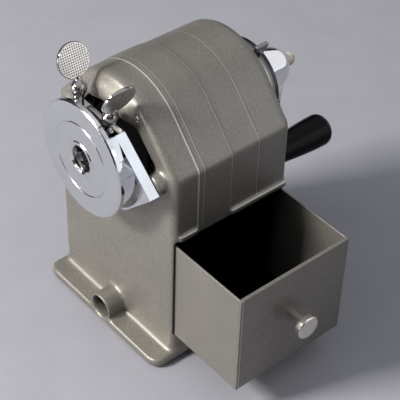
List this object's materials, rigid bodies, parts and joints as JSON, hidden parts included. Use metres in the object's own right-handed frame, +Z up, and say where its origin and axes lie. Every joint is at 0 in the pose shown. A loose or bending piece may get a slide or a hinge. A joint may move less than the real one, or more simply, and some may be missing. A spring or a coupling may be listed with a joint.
{
  "type": "desk pencil sharpener",
  "caption": "Hand-cranked desk pencil sharpener with a spring-fed chuck carriage, squeeze levers, a planetary cutter and a shavings drawer pulled half open.",
  "frame": {"origin": "centre of the underside of the base, on the table", "axes": "+Z up; -Y front, where the pencil goes in; +Y rear, along the shaft towards the crank; +X right, the way the drawer pulls out"},
  "size_m": [0.1167, 0.129, 0.1285],
  "materials": {
    "cast_paint": "fine metallic texture",
    "black_rubber": "matte",
    "screw_steel": "satin",
    "gear_steel": "machined",
    "bush_brass": "satin",
    "washer_black": "satin",
    "clip_steel": "satin",
    "selector_steel": "satin",
    "knob_metal": "satin",
    "frame_chrome": "polished",
    "disc_chrome": "polished",
    "guide_steel": "satin",
    "rod_steel": "ground",
    "spring_steel": "satin",
    "lever_chrome": "polished, knurled",
    "jaw_steel": "ribbed",
    "carrier_iron": "as cast",
    "cutter_steel": "hardened",
    "pinion_brass": "satin",
    "crank_chrome": "polished",
    "nut_cream": "satin",
    "grip_black": "glossy"
  },
  "bodies": {
    "casing": {"housing": "cast_paint", "base_pad": "black_rubber", "rear_cover": "cast_paint", "cover_screws": "screw_steel", "ring_gear": "gear_steel", "shaft_bush": "bush_brass", "crank_washer": "washer_black", "selector_clip": "clip_steel", "feed_springs": "spring_steel"},
    "drawer": {"drawer_tray": "cast_paint", "drawer_front": "cast_paint", "drawer_knob": "knob_metal", "knob_screw": "screw_steel"},
    "carriage": {"carriage_frame": "frame_chrome", "chuck_disc": "disc_chrome", "jaw_guide": "guide_steel", "disc_screws": "screw_steel", "guide_rods": "rod_steel", "rod_collars": "rod_steel"},
    "left_squeeze_lever": {"lever_left": "lever_chrome"},
    "right_squeeze_lever": {"lever_right": "lever_chrome"},
    "top_jaw": {"jaw_top": "jaw_steel"},
    "left_jaw": {"jaw_left": "jaw_steel"},
    "right_jaw": {"jaw_right": "jaw_steel"},
    "crank": {"drive_shaft": "rod_steel", "cutter_carrier": "carrier_iron", "cutter_axle": "rod_steel", "crank_arm": "crank_chrome", "cap_nut": "nut_cream", "crank_pin": "rod_steel"},
    "cutter": {"helical_cutter": "cutter_steel", "cutter_pinion": "pinion_brass"},
    "handle": {"grip": "grip_black"},
    "selector": {"selector_lever": "selector_steel"}
  },
  "joints": [
    {"name": "drawer_slide", "type": "slide", "parent": "casing", "child": "drawer", "axis": [1, 0, 0], "range_m": [-0.0348, 0.025]},
    {"name": "carriage_feed", "type": "slide", "parent": "casing", "child": "carriage", "axis": [0, -1, 0], "range_m": [0, 0.02], "stiffness_N_per_m": 120, "springref_m": -0.005, "deforming": ["feed_springs"]},
    {"name": "squeeze_left", "type": "hinge", "parent": "carriage", "child": "left_squeeze_lever", "pos_m": [0, -0.0355, 0.088], "axis": [0, 1, 0], "range_deg": [0, 15], "stiffness_Nm_per_rad": 0.05},
    {"name": "squeeze_right", "type": "hinge", "parent": "carriage", "child": "right_squeeze_lever", "pos_m": [0, -0.033, 0.088], "axis": [0, 1, 0], "range_deg": [-15, 0]},
    {"name": "jaw_top_slide", "type": "slide", "parent": "carriage", "child": "top_jaw", "axis": [0, 0, 1], "range_m": [0, 0.002]},
    {"name": "jaw_right_slide", "type": "slide", "parent": "carriage", "child": "right_jaw", "axis": [0.866, 0, -0.5], "range_m": [0, 0.002]},
    {"name": "jaw_left_slide", "type": "slide", "parent": "carriage", "child": "left_jaw", "axis": [-0.866, 0, -0.5], "range_m": [0, 0.002]},
    {"name": "crank_spin", "type": "hinge", "parent": "casing", "child": "crank", "pos_m": [0, 0.035, 0.088], "axis": [0, 1, 0], "continuous": true},
    {"name": "cutter_spin", "type": "hinge", "parent": "crank", "child": "cutter", "pos_m": [0, -0.0145, 0.1], "axis": [0, 0.9781, -0.2079], "continuous": true},
    {"name": "handle_spin", "type": "hinge", "parent": "crank", "child": "handle", "pos_m": [0, 0.06, 0.041], "axis": [0, 1, 0], "continuous": true},
    {"name": "selector_turn", "type": "hinge", "parent": "casing", "child": "selector", "pos_m": [0, 0.0367, 0.088], "axis": [0, 1, 0], "range_deg": [-70, 25]}
  ],
  "couplings": [
    {"joint": "squeeze_right", "follows": "squeeze_left", "ratio": -1},
    {"joint": "jaw_top_slide", "follows": "squeeze_left", "m_per_rad": 0.007},
    {"joint": "jaw_right_slide", "follows": "squeeze_left", "m_per_rad": 0.007},
    {"joint": "jaw_left_slide", "follows": "squeeze_left", "m_per_rad": 0.007},
    {"joint": "cutter_spin", "follows": "crank_spin", "ratio": -3}
  ]
}
